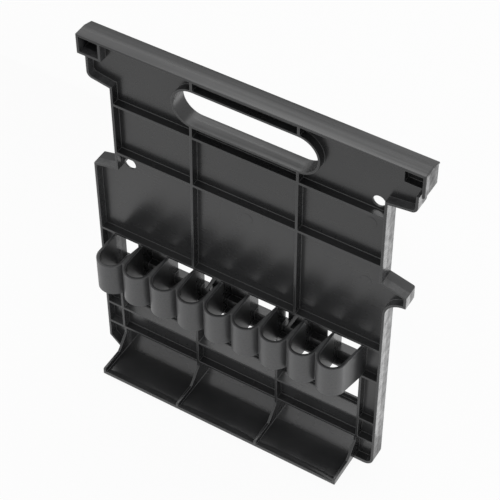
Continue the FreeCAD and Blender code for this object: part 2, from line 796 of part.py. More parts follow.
def tray():
    """Tray floor and its four dividers."""
    block("tray_floor", ("tray_left", "tray_right"), ("tray_front", "rail_back"),
          ("foot_thickness", "floor_top"))
    slope_foot = "front_face - gusset_reach"
    outline = [
        ("rail_back", "floor_top"),
        ("rail_back", "divider_top"),
        ("back_face", "gusset_height"),
        ("back_face", "tray_bar_bottom"),
        ("front_face", "tray_bar_bottom"),
        ("front_face", "gusset_height"),
        (slope_foot, "gusset_height - gusset_drop"),
        (slope_foot + " - gusset_toe", "divider_top"),
        ("tray_front + divider_corner", "divider_top"),
        ("tray_front", "divider_top - divider_corner"),
        ("tray_front", "floor_top"),
    ]
    middles = ["tray_left + half_wall", "upright_2", "upright_3", "tray_right - half_wall"]
    for index, middle in enumerate(middles):
        body = new_body("tray_divider_%d" % (index + 1))
        faces = (middle + " - half_wall", middle + " + half_wall")
        shape_step("Pad", body, "YZ_Plane", faces, [outline])


def check_and_export():
    """Stop on anything broken, then write one file for each piece."""
    document.recompute()
    for item in document.Objects:
        if "Invalid" in item.State or "Error" in item.State:
            raise ValueError("broken: " + item.Label)
    for piece in pieces:
        shape = piece.Shape
        if shape.isNull() or not shape.isValid() or len(shape.Solids) != 1:
            raise ValueError("not one valid solid: " + piece.Label)
        shape.exportStep("parts/" + piece.Label + ".step")


top_rail()
left_rail_box()
right_rail_box()
shoulders()
handle_collar()
neck_plate()
neck_walls_and_ribs()
upright_ribs()
ears()
body_plate()
side_walls()
crossbars()
column_plates()
lower_plate_and_uprights()
tool_loops()
window_sill()
back_panels_and_braces()
foot_rail()
tray()
check_and_export()
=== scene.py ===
"""Ribbed plastic tool holder panel, moulded in one shot and lit for a still picture."""
import json
import math

import bmesh
import bpy
from bpy.props import FloatProperty, FloatVectorProperty, IntProperty, PointerProperty
from mathutils import Matrix, Vector


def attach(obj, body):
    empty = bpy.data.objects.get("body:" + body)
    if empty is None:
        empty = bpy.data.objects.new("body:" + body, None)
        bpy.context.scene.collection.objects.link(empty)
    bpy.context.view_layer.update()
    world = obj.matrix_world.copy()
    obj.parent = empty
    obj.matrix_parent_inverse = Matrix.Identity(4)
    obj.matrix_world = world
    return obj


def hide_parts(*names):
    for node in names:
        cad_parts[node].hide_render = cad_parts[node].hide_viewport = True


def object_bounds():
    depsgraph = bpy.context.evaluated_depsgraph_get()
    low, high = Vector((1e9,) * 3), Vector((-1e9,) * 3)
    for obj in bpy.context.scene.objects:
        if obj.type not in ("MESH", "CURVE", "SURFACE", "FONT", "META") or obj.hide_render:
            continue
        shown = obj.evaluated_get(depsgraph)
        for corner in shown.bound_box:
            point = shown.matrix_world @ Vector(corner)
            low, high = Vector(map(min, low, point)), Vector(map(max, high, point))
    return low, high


bl_info = {
    "name": "Tool Holder Panel",
    "version": (1, 0, 0),
    "blender": (4, 5, 0),
    "location": "View3D > Sidebar > Tool Panel",
    "description": "Builds a ribbed plastic tool holder panel, its finish and its studio",
    "category": "Object",
}

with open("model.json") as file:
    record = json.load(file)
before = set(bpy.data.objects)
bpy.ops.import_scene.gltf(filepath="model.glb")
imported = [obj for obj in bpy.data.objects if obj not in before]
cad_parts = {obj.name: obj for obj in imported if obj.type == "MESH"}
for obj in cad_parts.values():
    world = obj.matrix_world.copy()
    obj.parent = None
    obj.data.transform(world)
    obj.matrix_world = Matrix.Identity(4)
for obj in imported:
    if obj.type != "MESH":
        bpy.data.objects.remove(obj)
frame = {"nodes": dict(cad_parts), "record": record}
cad_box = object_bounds()
nodes = frame["nodes"]

# Names of the joined mesh, the material and the marks on faces.
whole_name = "whole_moulding"
finish_name = "satin_black_plastic"
edge_highlight_name = "edge_wear"
# The edge mark picks the rounded faces that get a painted highlight in the colour.
wall_name = "outer_walls"
tag_prefix = "of_"

# Plates that run into the walls round them, and pieces that run in along one axis.
plates = ("neck_plate", "body_plate", "left_column_plate", "right_column_plate", "lower_plate")
run_in = {"left_rib_top": 2, "right_rib_top": 2, "window_sill": 0}

# Middles of the ejector marks, across and up.
pin_places = ((-0.107, 0.2956), (-0.002, 0.2342), (0.1067, 0.2891), (0.1058, 0.2226))
pin_sides = 48

# The row of loops, seen from above.
loop_pitch = 0.0265
loop_radius = 0.013
first_loop = -0.1173
loop_centre = -0.0301

# Tolerances of the mesh work, in metres and radians.
node_gap = 0.000002
short_edge = 0.00001
lip_gap = 0.000001
node_flat = math.radians(0.5)
whole_flat = math.radians(1.0)
rounded_turn = math.radians(25)
shaded_turn = math.radians(50)

# How a face or an edge is told apart.
side_facing = 0.5
outer_facing = 0.3
swell_facing = 0.5
spread_limit = 0.4
hole_margin = 0.0015
upright_length = 0.004
corner_gap = 0.0002
corner_segments = 5

# The raised front lip of the tray.
lip_rows = 10
lip_columns = 60
lip_least = 0.25
lip_fullness = 0.35
lip_band_below = 1.5
lip_band_above = 0.002

# Where the zones of the finish fade in, in metres.
rail_foot = (0.3625, 0.3635)
lower_half = (0.27, 0.235)
slot_floor_under = (0.3172, 0.3178)
slot_floor_over = (0.319, 0.3184)
slot_floor_end = (0.055, 0.045)
wall_front = (-0.0085, -0.008)
before_parting = (-0.0011, -0.0013)
panel_front = (-0.008, -0.009)
above_tray = (0.09, 0.1)
tray_top = (0.03, 0.028)
loop_bulge = (-0.010, -0.016)
loop_skin = (loop_radius - 0.0016, loop_radius - 0.0008)
box_end = (0.1495, 0.1505)

# Scale, detail and roughness of each noise, and how two of them are stretched.
coarse_noise = (620.0, 3.0, 0.7)
cloud_noise = (22.0, 3.0, 0.5)
blotch_noise = (170.0, 2.0, 0.5)
band_noise = (1.0, 3.0, 0.5)
flow_noise = (1.0, 4.0, 0.55)
grain_share = 0.6
grain_detail = (2.0, 0.6)
band_stretch = (3.0, 190.0, 190.0)
flow_stretch = (40.0, 40.0, 7.0)
noise_middle = 0.5

# Parts of each noise that show in the colour, and how strongly. Besides a faint random bloom, these
# lighten the colour as painted sheen on the loop fronts, the wall fronts and the lower half, and as
# a painted highlight on rounded edges.
cloud_bloom = (0.42, 0.72)
flow_bloom = (0.5, 0.75)
# The loop fronts are lightened partly for their coarse skin and partly as a painted sheen.
coarse_scuff_and_sheen = (0.3, 0.7)
# Blotches mottle the painted sheen on the fronts of the outer walls.
blotch_sheen = (0.7, 0.4)
bloom_of_clouds = 0.4
bloom_of_flow = 0.25
# Least lightening of the loop fronts, partly coarse skin and partly painted sheen.
scuff_and_sheen_of_loops = 0.5
# The fronts of the outer walls are lightened as a painted sheen.
sheen_of_wall_fronts = 0.3
sheen_of_blotches = 0.5
# The rounded edges are lightened as a painted highlight, varied by clouds.
highlight_of_edges = 0.25
edge_highlight_of_clouds = 0.6
# The lower half of the panel is lightened as a painted sheen.
sheen_of_lower_half = 0.17

# What each noise adds to the roughness.
rough_bands = 0.06
rough_flow = 0.12
rough_clouds = 0.1
rough_rail_bands = 0.9
rough_loops = 0.3
rough_blotches = 0.5

# Relief and refraction of the plastic.
coarse_height = 2.0
bump_strength = 0.4
plastic_ior = 1.52

# The camera's sensor, in millimetres, and its near and far limits, in metres.
sensor_width = 36.0
clip_start = 0.05
clip_end = 50.0


class Moulding(bpy.types.PropertyGroup):
    """Small sizes of the moulding that are added to the plain solids."""

    edge_radius: FloatProperty(
        name="Edge radius", description="Rounding of rims and of the roots between ribs and plates",
        default=0.00045, min=0.0001, max=0.001, subtype="DISTANCE", unit="LENGTH")
    edge_segments: IntProperty(
        name="Edge segments", description="Flats across one rounded edge", default=2, min=1, max=4)
    corner_radius: FloatProperty(
        name="Corner radius", description="Rounding of the right box and of the hook's end",
        default=0.0018, min=0.0005, max=0.0022, subtype="DISTANCE", unit="LENGTH")
    merge_distance: FloatProperty(
        name="Merge distance", description="Corners closer than this become one before rounding",
        default=0.00008, min=0.0, max=0.001, subtype="DISTANCE", unit="LENGTH")
    parting_place: FloatProperty(
        name="Parting place", description="Front to back place of the mould's parting line",
        default=-0.0006, subtype="DISTANCE", unit="LENGTH")
    parting_draft: FloatProperty(
        name="Parting draft", description="How far the outer walls swell at the parting line",
        default=0.00006, min=0.0, max=0.001, subtype="DISTANCE", unit="LENGTH")
    lip_height: FloatProperty(
        name="Lip height", description="Rise of the tray floor at its front edge",
        default=0.0015, min=0.0, max=0.004, subtype="DISTANCE", unit="LENGTH")
    lip_reach: FloatProperty(
        name="Lip reach", description="Width of the rising front edge in the middle of a bay",
        default=0.0075, min=0.001, max=0.02, subtype="DISTANCE", unit="LENGTH")
    pin_radius: FloatProperty(
        name="Pin radius", description="Radius of the round ejector marks",
        default=0.0052, min=0.001, max=0.01, subtype="DISTANCE", unit="LENGTH")
    pin_height: FloatProperty(
        name="Pin height", description="How far the ejector marks stand proud",
        default=0.0003, min=0.0, max=0.001, subtype="DISTANCE", unit="LENGTH")
    plate_overlap: FloatProperty(
        name="Plate overlap", description="How far plates run into the walls round them",
        default=0.0006, min=0.0, max=0.001, subtype="DISTANCE", unit="LENGTH")


class PlasticFinish(bpy.types.PropertyGroup):
    """Colour and surface of the plastic."""

    colour: FloatVectorProperty(
        name="Colour", description="Colour of the plastic", subtype="COLOR", size=3,
        default=(0.0165, 0.0168, 0.0175), min=0.0, max=1.0)
    bloom: FloatVectorProperty(
        name="Bloom", description="Colour of the faint bloom on the plastic", subtype="COLOR",
        size=3, default=(0.031, 0.0314, 0.0325), min=0.0, max=1.0)
    # Light grey used for painted sheen and painted highlights, and for the coarse skin of the loop
    # fronts.
    sheen_and_scuff: FloatVectorProperty(
        name="Scuffed", description="Colour of the scuffed, coarser fronts of the loops",
        subtype="COLOR", size=3, default=(0.1, 0.101, 0.103), min=0.0, max=1.0)
    roughness: FloatProperty(
        name="Roughness", description="Mean roughness of the smooth plates", default=0.27,
        min=0.05, max=1.0, subtype="FACTOR")
    wall_roughness: FloatProperty(
        name="Wall roughness", description="Extra roughness of outer walls behind the parting line",
        default=0.12, min=0.0, max=0.5, subtype="FACTOR")
    loop_roughness: FloatProperty(
        name="Loop roughness", description="Extra roughness of the loops", default=0.14,
        min=0.0, max=0.5, subtype="FACTOR")
    rail_roughness: FloatProperty(
        name="Rail roughness", description="Extra roughness of the rail and the slot's floor",
        default=0.14, min=0.0, max=0.5, subtype="FACTOR")
    # The edges meant here are the rounded edges, which also get a painted highlight in the colour.
    edge_roughness: FloatProperty(
        name="Edge roughness", description="Extra roughness of the worn edges", default=0.1,
        min=0.0, max=0.5, subtype="FACTOR")
    tray_gloss: FloatProperty(
        name="Tray gloss", description="How much less rough the tray is", default=0.07,
        min=0.0, max=0.2, subtype="FACTOR")
    end_roughness: FloatProperty(
        name="End roughness", description="Extra roughness of the end of the right box",
        default=0.12, min=0.0, max=0.5, subtype="FACTOR")
    grain_size: FloatProperty(
        name="Grain size", description="Width of one grain of the spark-etched skin",
        default=0.0006, min=0.0001, max=0.005, subtype="DISTANCE", unit="LENGTH")
    grain_depth: FloatProperty(
        name="Grain depth", description="Depth of the grain", default=0.00002,
        min=0.0, max=0.001, subtype="DISTANCE", unit="LENGTH")


class Studio(bpy.types.PropertyGroup):
    """Camera, floor and lamps."""

    camera_place: FloatVectorProperty(
        name="Camera place", description="Where the camera stands", subtype="TRANSLATION",
        unit="LENGTH", size=3, default=(0.50871, -0.83837, 1.26824))
    camera_turn: FloatVectorProperty(
        name="Camera turn", description="How the camera is turned", subtype="EULER", size=3,
        default=(0.741515, 0.002867, 0.542106))
    lens: FloatProperty(
        name="Lens", description="Focal length on a 36 mm sensor", default=129.55,
        min=20.0, max=400.0, unit="CAMERA")
    floor_size: FloatProperty(
        name="Floor size", description="From the middle of the floor to its sides", default=6.0,
        min=1.0, subtype="DISTANCE", unit="LENGTH")
    floor_colour: FloatVectorProperty(
        name="Floor colour", description="Colour of the floor", subtype="COLOR", size=3,
        default=(0.82, 0.82, 0.82), min=0.0, max=1.0)
    card_place: FloatVectorProperty(
        name="Card place", description="Left edge and distance behind of the grey card", size=2,
        default=(-0.9, 0.26), subtype="XYZ", unit="LENGTH")
    card_size: FloatVectorProperty(
        name="Card size", description="Width and height of the grey card", size=2,
        default=(0.9, 0.42), subtype="XYZ", unit="LENGTH")
    card_colour: FloatVectorProperty(
        name="Card colour", description="Colour of the grey card", subtype="COLOR", size=3,
        default=(0.36, 0.36, 0.36), min=0.0, max=1.0)
    top_lamp: FloatProperty(
        name="Top lamp", description="Power of the wide lamp behind and above", default=3.4,
        min=0.0, unit="POWER")
    top_lamp_size: FloatVectorProperty(
        name="Top lamp size", description="Width and height of the wide lamp", size=2,
        default=(1.2, 0.45), subtype="XYZ", unit="LENGTH")
    top_lamp_place: FloatVectorProperty(
        name="Top lamp place", description="Where the wide lamp hangs", size=3,
        default=(-0.33, 0.54, 1.08), subtype="TRANSLATION", unit="LENGTH")
    top_lamp_aim: FloatVectorProperty(
        name="Top lamp aim", description="What the wide lamp points at", size=3,
        default=(0.0, 0.0, 0.365), subtype="TRANSLATION", unit="LENGTH")
    floor_lamp: FloatProperty(
        name="Floor lamp", description="Power of the soft lamp on the floor at the right back",
        default=0.68, min=0.0, unit="POWER")
    floor_lamp_size: FloatVectorProperty(
        name="Floor lamp size", description="Width and depth of the soft lamp", size=2,
        default=(0.45, 0.48), subtype="XYZ", unit="LENGTH")
    floor_lamp_place: FloatVectorProperty(
        name="Floor lamp place", description="Where the soft lamp lies, facing up", size=3,
        default=(0.36, 0.26, 0.004), subtype="TRANSLATION", unit="LENGTH")
    fill: FloatProperty(
        name="Fill", description="Strength of the even light that the room gives", default=0.6,
        min=0.0, max=1.0, subtype="FACTOR")
    floor_white: FloatProperty(
        name="Floor white", description="How white the floor looks to the camera", default=0.95,
        min=0.0, max=1.0, subtype="FACTOR")


class Flow:
    """One socket of a node tree that takes part in plain arithmetic."""

    def __init__(self, tree, socket):
        self.tree = tree
        self.socket = socket

    def join(self, operation, first, second):
        """Add one Math node that reads two values or flows."""
        made = self.tree.nodes.new("ShaderNodeMath")
        made.operation = operation
        for place, value in zip(made.inputs, (first, second)):
            if isinstance(value, Flow):
                self.tree.links.new(value.socket, place)
            else:
                place.default_value = value
        return Flow(self.tree, made.outputs[0])

    def __add__(self, other):
        return self.join("ADD", self, other)

    def __radd__(self, other):
        return self.join("ADD", other, self)

    def __sub__(self, other):
        return self.join("SUBTRACT", self, other)

    def __rsub__(self, other):
        return self.join("SUBTRACT", other, self)

    def __mul__(self, other):
        return self.join("MULTIPLY", self, other)

    def __rmul__(self, other):
        return self.join("MULTIPLY", other, self)

    def __truediv__(self, other):
        return self.join("DIVIDE", self, other)

    def __rtruediv__(self, other):
        return self.join("DIVIDE", other, self)

    def __pow__(self, other):
        return self.join("POWER", self, other)

    def __rpow__(self, other):
        return self.join("POWER", other, self)

    def output(self, name):
        """Read another output of the node that this flow leaves."""
        return Flow(self.tree, self.socket.node.outputs[name])

    def held(self):
        """Keep a value between nought and one."""
        return self.join("MAXIMUM", self.join("MINIMUM", self, 1.0), 0.0)

    def step(self, start, end):
        """Rise from nought at the start to one at the end."""
        return ((self - start) / (end - start)).held()


class Nodes:
    """A node tree whose nodes are added by type, settings and socket values."""

    def __init__(self, tree):
        self.tree = tree
        tree.nodes.clear()

    def node(self, kind, settings=None, output=0, **sockets):
        """Add one node and return one of its outputs, if it has any."""
        made = self.tree.nodes.new(kind)
        for name, value in (settings or {}).items():
            setattr(made, name, value)
        for name, value in sockets.items():
            number = name[1:]
            place = made.inputs[int(number) if number.isdigit() else name.replace("_", " ")]
            if isinstance(value, Flow):
                self.tree.links.new(value.socket, place)
            else:
                place.default_value = value
        if made.outputs:
            return Flow(self.tree, made.outputs[output])
        return None

    def noise(self, place, scale, detail, roughness):
        """Add one noise texture."""
        return self.node("ShaderNodeTexNoise", Vector=place, Scale=scale, Detail=detail,
                         Roughness=roughness)

    def mark(self, name):
        """Read a mark that the faces of a piece carry."""
        return self.node("ShaderNodeAttribute", {"attribute_name": name}, 2)

    def blend(self, factor, first, second):
        """Mix two colours."""
        return self.node("ShaderNodeMix", {"data_type": "RGBA"}, 2, Factor=factor, _6=first,
                         _7=second)

    def seen_rays(self):
        """Add up the rays that see the stage straight, in a reflection or through a surface."""
        path = self.node("ShaderNodeLightPath")
        return (path.output("Is Camera Ray") + path.output("Is Glossy Ray")
                + path.output("Is Transmission Ray"))


def new_material(name):
    """Start a material without nodes and give it with its tree."""
    material = bpy.data.materials.new(name)
    material.use_nodes = True
    return material, Nodes(material.node_tree)


def panel_zones(make, place):
    """Mask the parts of the moulding that have a surface of their own."""
    apart = make.node("ShaderNodeSeparateXYZ", Vector=place)
    side = apart.output("X")
    depth = apart.output("Y")
    height = apart.output("Z")
    beside = side.join("ABSOLUTE", side, 0.0)
    rail = height.step(*rail_foot)
    slot_floor = height.step(*slot_floor_under) * height.step(*slot_floor_over)
    slot_floor = slot_floor * beside.step(*slot_floor_end)
    outer = make.mark(wall_name) * (1.0 - rail) * depth.step(*wall_front)
    # The wall fronts, ahead of the parting line, get a painted sheen in the colour.
    rims = depth.step(*before_parting) * outer

    along = side - first_loop + loop_pitch / 2
    across = along.join("FLOORED_MODULO", along, loop_pitch) - loop_pitch / 2
    ahead = depth.join("MINIMUM", depth - loop_centre, 0.0)
    reach = (across * across + ahead * ahead) ** 0.5
    holders = depth.step(*panel_front) * height.step(*above_tray)
    loops = reach.step(*loop_skin) * holders * depth.step(*loop_bulge)
    # The lower half and the wall fronts get painted sheen, and the marked edges a painted
    # highlight.
    return {
        # The lower half, which gets a painted sheen in the colour.
        "lower_half": height.step(*lower_half),
        "banded": rail + slot_floor,
        "outer": outer,
        "rims": rims,
        "holders": holders,
        "loops": loops,
        "trays": depth.step(*panel_front) * height.step(*tray_top),
        "box_end": side.step(*box_end),
        # Rounded edges, which carry a painted highlight.
        "edges": make.mark(edge_highlight_name),
    }


def satin_plastic():
    """Black moulded plastic, smooth on the plates and coarser on rims and loop fronts, with painted
    sheen on the loop fronts, the wall fronts and the lower half and a painted highlight on rounded
    edges.
    """
    if finish_name in bpy.data.materials:
        return bpy.data.materials[finish_name]
    setup = bpy.context.scene.panel_plastic
    material, make = new_material(finish_name)
    place = make.node("ShaderNodeTexCoord", output=3)
    zones = panel_zones(make, place)
    outer = zones["outer"]
    loops = zones["loops"]
    edges = zones["edges"]

    grain = make.noise(place, grain_share / setup.grain_size, *grain_detail)
    coarse = make.noise(place, *coarse_noise)
    clouds = make.noise(place, *cloud_noise)
    blotches = make.noise(place, *blotch_noise)
    bands = make.noise(make.node("ShaderNodeMapping", Vector=place, Scale=band_stretch),
                       *band_noise)
    flow = make.noise(make.node("ShaderNodeMapping", Vector=place, Scale=flow_stretch),
                      *flow_noise)

    bloom = clouds.step(*cloud_bloom) * bloom_of_clouds + flow.step(*flow_bloom) * bloom_of_flow
    colour = make.blend(bloom.held(), (*setup.colour, 1.0), (*setup.bloom, 1.0))
    # Loop fronts: partly coarse skin, partly painted sheen.
    scuff_and_sheen_on_loops = coarse.step(*coarse_scuff_and_sheen) * (1.0 - scuff_and_sheen_of_loops) + scuff_and_sheen_of_loops
    # Painted sheen on the wall fronts, mottled by blotches.
    sheen_on_wall_fronts = blotches.step(*blotch_sheen) * sheen_of_blotches + sheen_of_wall_fronts
    # Painted highlight on the rounded edges.
    highlight_on_edges = edges * (clouds * edge_highlight_of_clouds + highlight_of_edges)
    lightened = loops * scuff_and_sheen_on_loops + zones["rims"] * sheen_on_wall_fronts
    lightened = lightened.join("MAXIMUM", lightened, highlight_on_edges)
    # Painted sheen on the lower half of the panel, outside the outer walls.
    lightened = lightened + zones["lower_half"] * (1.0 - outer) * sheen_of_lower_half
    # Mix the painted sheen, the painted highlights and the loops' coarse skin into the colour.
    colour = make.blend(lightened.held(), colour, (*setup.sheen_and_scuff, 1.0))

    rough = setup.roughness + (outer - zones["rims"]) * setup.wall_roughness
    rough = rough + zones["holders"] * setup.loop_roughness - zones["trays"] * setup.tray_gloss
    rough = rough + zones["box_end"] * setup.end_roughness + edges * setup.edge_roughness
    rough = rough + (bands - noise_middle) * rough_bands + (flow - noise_middle) * rough_flow
    rough = rough + (clouds - noise_middle) * rough_clouds
    rough = rough + zones["banded"] * (
        (bands - noise_middle) * rough_rail_bands + setup.rail_roughness)
    rough = rough + loops * (coarse - noise_middle) * rough_loops
    rough = rough + outer * (blotches - noise_middle) * rough_blotches

    normal = make.node("ShaderNodeBump", Strength=bump_strength, Distance=setup.grain_depth,
                       Height=grain + loops * coarse * coarse_height)
    shader = make.node("ShaderNodeBsdfPrincipled", Base_Color=colour, Roughness=rough,
                       Normal=normal, IOR=plastic_ior)
    make.node("ShaderNodeOutputMaterial", Surface=shader)
    return material


def is_round_hole(face):
    """Tell whether a side face belongs to one of the round holes."""
    middle = face.calc_center_median()
    for mount in frame["record"]["mounts"]:
        if mount["kind"] == "bore":
            gap = Vector(mount["pos_m"]) - middle
            gap.y = 0.0
            if gap.length < hole_margin + mount["dims"]["r_mm"] / 1000:
                return True
    return False


def spread_plate(shell, reach):
    """Push a plate's side faces outwards so that it runs into the walls round it."""
    shell.normal_update()
    pushes = {}
    for face in shell.faces:
        if abs(face.normal.y) < side_facing and not is_round_hole(face):
            for corner in face.verts:
                pushes.setdefault(corner, []).append(face.normal.copy())
    for corner, normals in pushes.items():
        mean = sum(normals, Vector()).normalized()
        share = max(min(mean.dot(normal) for normal in normals), spread_limit)
        corner.co += mean * (reach / share)


def lengthen(shell, axis, reach):
    """Push the ends of a piece into its neighbours along one axis."""
    middle = sum(corner.co[axis] for corner in shell.verts) / len(shell.verts)
    for corner in shell.verts:
        corner.co[axis] += math.copysign(reach, corner.co[axis] - middle)


def clean_copy(name):
    """Copy a node with its loose triangles joined and its name kept as its material."""
    setup = bpy.context.scene.panel_moulding
    shell = bmesh.new()
    shell.from_mesh(nodes[name].data)
    bmesh.ops.remove_doubles(shell, verts=shell.verts, dist=node_gap)
    bmesh.ops.dissolve_limit(shell, angle_limit=node_flat, verts=shell.verts,
                             edges=shell.edges)
    if name in plates:
        spread_plate(shell, setup.plate_overlap)
    if name in run_in:
        lengthen(shell, run_in[name], setup.plate_overlap)
    for face in shell.faces:
        face.material_index = 0
    mesh = bpy.data.meshes.new("copy_" + name)
    shell.to_mesh(mesh)
    shell.free()
    tag = tag_prefix + name
    mesh.materials.append(bpy.data.materials.get(tag) or bpy.data.materials.new(tag))
    return bpy.data.objects.new(mesh.name, mesh)


def round_corners(shell):
    """Round the upright corner of the right box and the back corner of the hook."""
    setup = bpy.context.scene.panel_moulding
    hook = piece_box("right_hook")
    box = piece_box("right_rail_box")
    for place in (Vector((cad_box[1][0], box[0].y, 0.0)), hook[1]):
        chosen = []
        for edge in shell.edges:
            ends = [corner.co for corner in edge.verts]
            upright = abs(ends[0].z - ends[1].z) > upright_length
            near = all(abs(end.x - place.x) < corner_gap and abs(end.y - place.y) < corner_gap
                       for end in ends)
            if upright and near:
                chosen.append(edge)
        if not chosen:
            raise RuntimeError("a corner to round wasn't found")
        bmesh.ops.bevel(shell, geom=chosen, offset=setup.corner_radius, offset_type="OFFSET",
                        segments=corner_segments, profile=0.5, affect="EDGES",
                        clamp_overlap=False, material=-1)


def piece_box(name):
    """Give the low and high corners of one node."""
    corners = [corner.co for corner in nodes[name].data.vertices]
    return (Vector([min(corner[axis] for corner in corners) for axis in range(3)]),
            Vector([max(corner[axis] for corner in corners) for axis in range(3)]))


def mark_parting_line(shell):
    """Mark the outer walls, cut them along the parting line and let them swell there."""
    setup = bpy.context.scene.panel_moulding
    wall = piece_box("right_neck_wall")[0].x
    outer = [face for face in shell.faces
             if abs(face.normal.y) < outer_facing and abs(face.calc_center_median().x) > wall]
    walls = shell.faces.layers.float[wall_name]
    for face in outer:
        face[walls] = 1.0
    edges = dict.fromkeys(edge for face in outer for edge in face.edges)
    corners = dict.fromkeys(corner for face in outer for corner in face.verts)
    cut = bmesh.ops.bisect_plane(shell, geom=[*outer, *edges, *corners], dist=short_edge,
                                 plane_co=(0.0, setup.parting_place, 0.0),
                                 plane_no=(0.0, 1.0, 0.0))["geom_cut"]
    shell.normal_update()
    for item in cut:
        if isinstance(item, bmesh.types.BMVert):
            facing = item.normal.x * math.copysign(1.0, item.co.x)
            inside = abs(item.co.x) < cad_box[1][0] - setup.edge_radius
            if facing > swell_facing and inside:
                item.co += item.normal * setup.parting_draft


def join_nodes():
    """Join a copy of every node into one mesh."""
    copies = [clean_copy(name) for name in sorted(nodes)]
    group = bpy.data.collections.new("copies")
    bpy.context.scene.collection.children.link(group)
    for copy in copies[1:]:
        group.objects.link(copy)
    bpy.context.scene.collection.objects.link(copies[0])
    join = copies[0].modifiers.new("join", "BOOLEAN")
    join.operation = "UNION"
    join.operand_type = "COLLECTION"
    join.collection = group
    join.solver = "MANIFOLD"
    join.material_mode = "TRANSFER"
    graph = bpy.context.evaluated_depsgraph_get()
    mesh = bpy.data.meshes.new_from_object(copies[0].evaluated_get(graph))
    mesh.name = whole_name
    for copy in copies:
        bpy.data.objects.remove(copy)
    bpy.data.collections.remove(group)
    return mesh


def round_edges(shell):
    """Round every sharp edge a little and mark the rounded faces for a painted highlight."""
    setup = bpy.context.scene.panel_moulding
    sharp = [edge for edge in shell.edges
             if edge.is_manifold and edge.calc_face_angle() > rounded_turn]
    rounded = bmesh.ops.bevel(shell, geom=sharp, offset=setup.edge_radius,
                              offset_type="OFFSET", segments=setup.edge_segments, profile=0.5,
                              affect="EDGES", clamp_overlap=False, material=-1)["faces"]
    highlight_layer = shell.faces.layers.float[edge_highlight_name]
    for face in rounded:
        face[highlight_layer] = 1.0


def whole_moulding():
    """Give the one rounded moulding, made once and kept for all pieces."""
    if whole_name in bpy.data.meshes:
        return bpy.data.meshes[whole_name]
    setup = bpy.context.scene.panel_moulding
    mesh = join_nodes()
    shell = bmesh.new()
    shell.from_mesh(mesh)
    shell.faces.layers.float.new(wall_name)
    shell.faces.layers.float.new(edge_highlight_name)
    bmesh.ops.remove_doubles(shell, verts=shell.verts, dist=setup.merge_distance)
    bmesh.ops.dissolve_degenerate(shell, edges=shell.edges, dist=short_edge)
    bmesh.ops.dissolve_limit(shell, angle_limit=whole_flat, verts=shell.verts,
                             edges=shell.edges)
    round_corners(shell)
    round_edges(shell)
    mark_parting_line(shell)
    shell.to_mesh(mesh)
    shell.free()
    return mesh


def finish_piece(name, shell, members):
    """Turn a built shell into a smooth shaded piece with its body, slot and nodes."""
    mesh = bpy.data.meshes.new(name)
    shell.to_mesh(mesh)
    shell.free()
    mesh.materials.append(satin_plastic())
    mesh.set_sharp_from_angle(angle=shaded_turn)
    piece = bpy.data.objects.new(name, mesh)
    bpy.context.scene.collection.objects.link(piece)
    even = piece.modifiers.new("even shading", "WEIGHTED_NORMAL")
    even.keep_sharp = True
    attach(piece, "root")
    if members:
        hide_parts(*members)


def take_shell(members):
    """Copy the faces of some nodes out of the whole moulding."""
    whole = whole_moulding()
    wanted = {index for index, slot in enumerate(whole.materials)
              if slot.name[len(tag_prefix):] in members}
    shell = bmesh.new()
    shell.from_mesh(whole)
    rest = [face for face in shell.faces if face.material_index not in wanted]
    bmesh.ops.delete(shell, geom=rest, context="FACES")
    if not shell.faces:
        raise RuntimeError("the moulding has no faces of " + ", ".join(members))
    for face in shell.faces:
        face.material_index = 0
        face.smooth = True
    return shell


class PanelStep:
    """Shared settings of the operators that build the panel."""

    bl_options = {"REGISTER", "UNDO"}
    piece = ""
    members = ()

    def execute(self, context):
        """Take this piece out of the moulding."""
        finish_piece(self.piece, take_shell(self.members), self.members)
        return {"FINISHED"}


class BuildRail(PanelStep, bpy.types.Operator):
    """Build the top rail with the box at each end."""

    bl_idname = "toolpanel.rail"
    bl_label = "Top Rail"
    piece = "rail_moulding"
    members = ("top_rail", "left_rail_box", "right_rail_box")


class BuildNeck(PanelStep, bpy.types.Operator):
    """Build the neck with its shoulders, walls, ribs and handle collar."""

    bl_idname = "toolpanel.neck"
    bl_label = "Neck"
    piece = "neck_moulding"
    members = ("neck_plate", "left_shoulder", "right_shoulder", "left_neck_wall",
               "right_neck_wall", "upper_neck_rib", "lower_neck_rib", "handle_collar",
               "left_rib_top", "left_rib_middle", "right_rib_top", "right_rib_middle")


class BuildBody(PanelStep, bpy.types.Operator):
    """Build the body plate with its ear, hook, side walls and foot."""

    bl_idname = "toolpanel.body"
    bl_label = "Body"
    piece = "body_moulding"
    members = ("body_plate", "left_rib_bottom", "right_rib_bottom", "left_ear", "right_hook",
               "left_side_wall", "right_side_wall", "left_column_plate", "right_column_plate",
               "foot_rail")


class BuildFrame(PanelStep, bpy.types.Operator):
    """Build the bars and uprights round the windows."""

    bl_idname = "toolpanel.frame"
    bl_label = "Window Frame"
    piece = "window_frame_moulding"
    members = ("body_bar", "window_bar", "lower_bar", "tray_bar", "lower_plate", "window_lip",
               "window_upright_1", "window_upright_2", "window_upright_3", "window_upright_4",
               "lower_upright_1", "lower_upright_2", "lower_upright_3", "lower_upright_4")


class BuildLoops(PanelStep, bpy.types.Operator):
    """Build the nine tool loops, one piece each."""

    bl_idname = "toolpanel.loops"
    bl_label = "Tool Loops"

    def execute(self, context):
        """Take each loop out of the moulding."""
        for name in sorted(nodes):
            if name.startswith("tool_loop_"):
                finish_piece(name + "_moulding", take_shell((name,)), (name,))
        return {"FINISHED"}


class BuildWindowBacks(PanelStep, bpy.types.Operator):
    """Build the sill, back panels and braces behind the loops."""

    bl_idname = "toolpanel.window_backs"
    bl_label = "Window Backs"
    piece = "window_back_moulding"
    members = ("window_sill", "back_panel_1", "back_panel_2", "back_panel_3",
               "window_brace_1", "window_brace_2")


